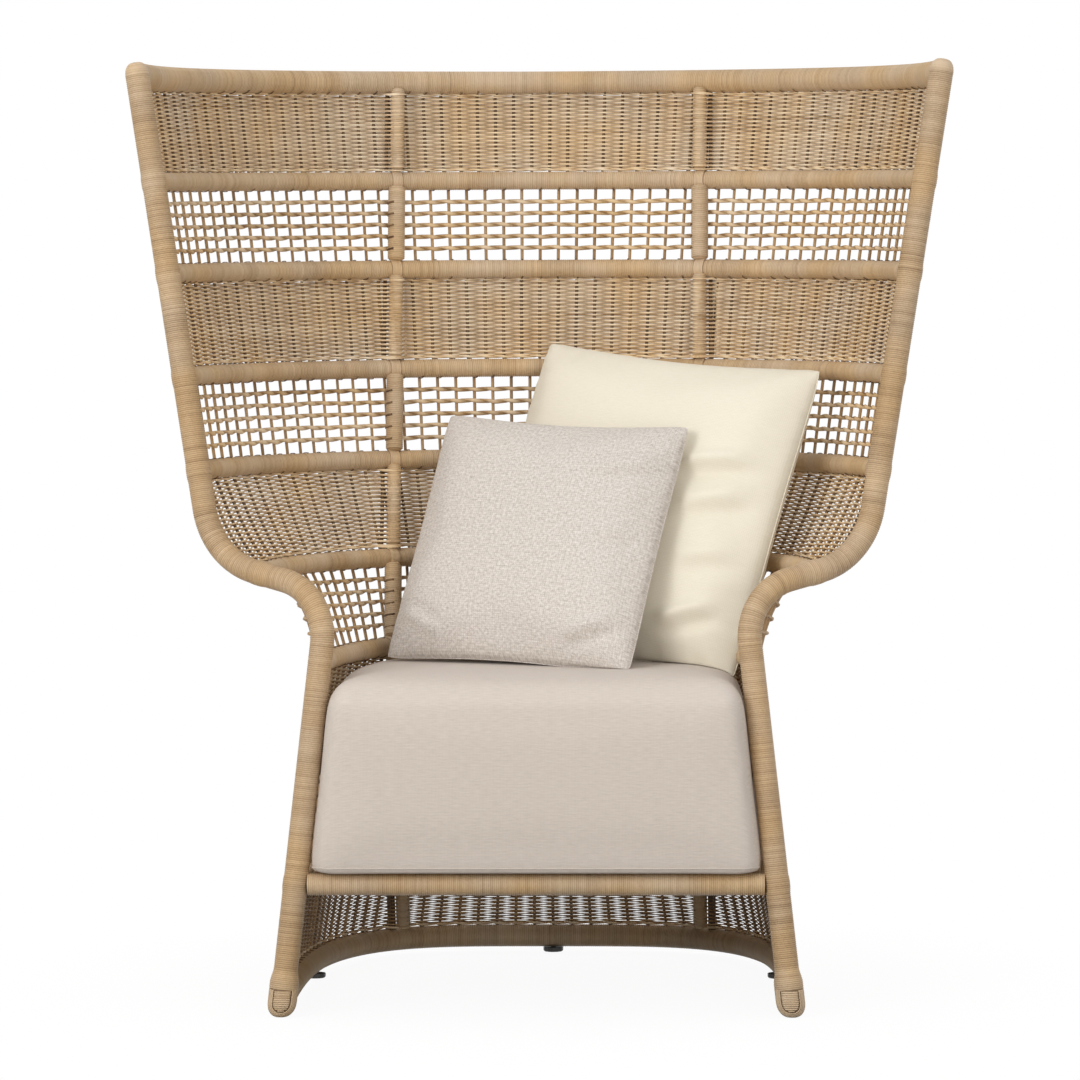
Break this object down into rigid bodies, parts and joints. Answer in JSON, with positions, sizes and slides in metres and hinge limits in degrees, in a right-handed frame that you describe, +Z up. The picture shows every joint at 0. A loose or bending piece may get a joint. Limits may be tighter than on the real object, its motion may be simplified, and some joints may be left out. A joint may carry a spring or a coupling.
{
  "type": "peacock chair",
  "caption": "High flared woven armchair: fibre-wound tube frame with hoops, dense and open woven rows, a thick seat cushion and loose back pillows.",
  "frame": {"origin": "on the floor under the middle of the chair's bounding box", "axes": "+Z up, the chair faces -Y, +X to the right when looking at its front"},
  "size_m": [1.2596, 0.819, 1.4249],
  "materials": {
    "aluminium_tube": "satin",
    "fibre_winding": "satin",
    "fibre_weave": "satin",
    "glide_plastic": "matte",
    "seat_fabric": "matte",
    "boucle_fabric": "matte",
    "cream_fabric": "matte",
    "foam": "matte"
  },
  "bodies": {
    "frame": {"rim_core_left": "aluminium_tube", "rim_wrap_left": "fibre_winding", "rim_tip_left": "fibre_winding", "foot_shoe_left": "fibre_winding", "rim_core_right": "aluminium_tube", "rim_wrap_right": "fibre_winding", "rim_tip_right": "fibre_winding", "foot_shoe_right": "fibre_winding", "top_rail_core": "aluminium_tube", "top_rail_wrap": "fibre_winding", "hoop_1": "fibre_winding", "hoop_2": "fibre_winding", "hoop_3": "fibre_winding", "hoop_4": "fibre_winding", "hoop_5": "fibre_winding", "seat_ring": "fibre_winding", "skirt_hoop": "fibre_winding", "deck_ring": "fibre_winding", "base_ring_core": "aluminium_tube", "base_ring_wrap": "fibre_winding", "rib_core_left": "aluminium_tube", "rib_wrap_left": "fibre_winding", "rib_core_right": "aluminium_tube", "rib_wrap_right": "fibre_winding", "front_rail_core": "aluminium_tube", "front_rail_wrap": "fibre_winding", "glide_left": "glide_plastic", "glide_right": "glide_plastic", "glide_back": "glide_plastic", "weave_1_dense": "fibre_weave", "weave_2_open": "fibre_weave", "weave_3_dense": "fibre_weave", "weave_4_open": "fibre_weave", "weave_5_dense": "fibre_weave", "weave_6_open": "fibre_weave", "weave_7_dense": "fibre_weave", "weave_8_open": "fibre_weave", "weave_9_dense": "fibre_weave", "seat_deck": "fibre_weave", "seat_bar_left": "aluminium_tube", "seat_bar_right": "aluminium_tube"},
    "seat_cushion": {"seat_cushion_cover": "seat_fabric", "seat_cushion_foam": "foam"},
    "large_pillow": {"large_pillow_cover": "cream_fabric", "large_pillow_insert": "foam"},
    "small_pillow": {"small_pillow_cover": "boucle_fabric", "small_pillow_insert": "foam"}
  },
  "joints": [
    {"name": "seat_cushion_pull", "type": "slide", "parent": "frame", "child": "seat_cushion", "axis": [0, -1, 0], "range_m": [0, 0.62]},
    {"name": "large_pillow_lift", "type": "slide", "parent": "frame", "child": "large_pillow", "axis": [0, -0.3, 0.9539], "range_m": [0, 0.8]},
    {"name": "small_pillow_lift", "type": "slide", "parent": "large_pillow", "child": "small_pillow", "axis": [-0.2001, -0.7203, 0.6642], "range_m": [0, 0.5]}
  ]
}
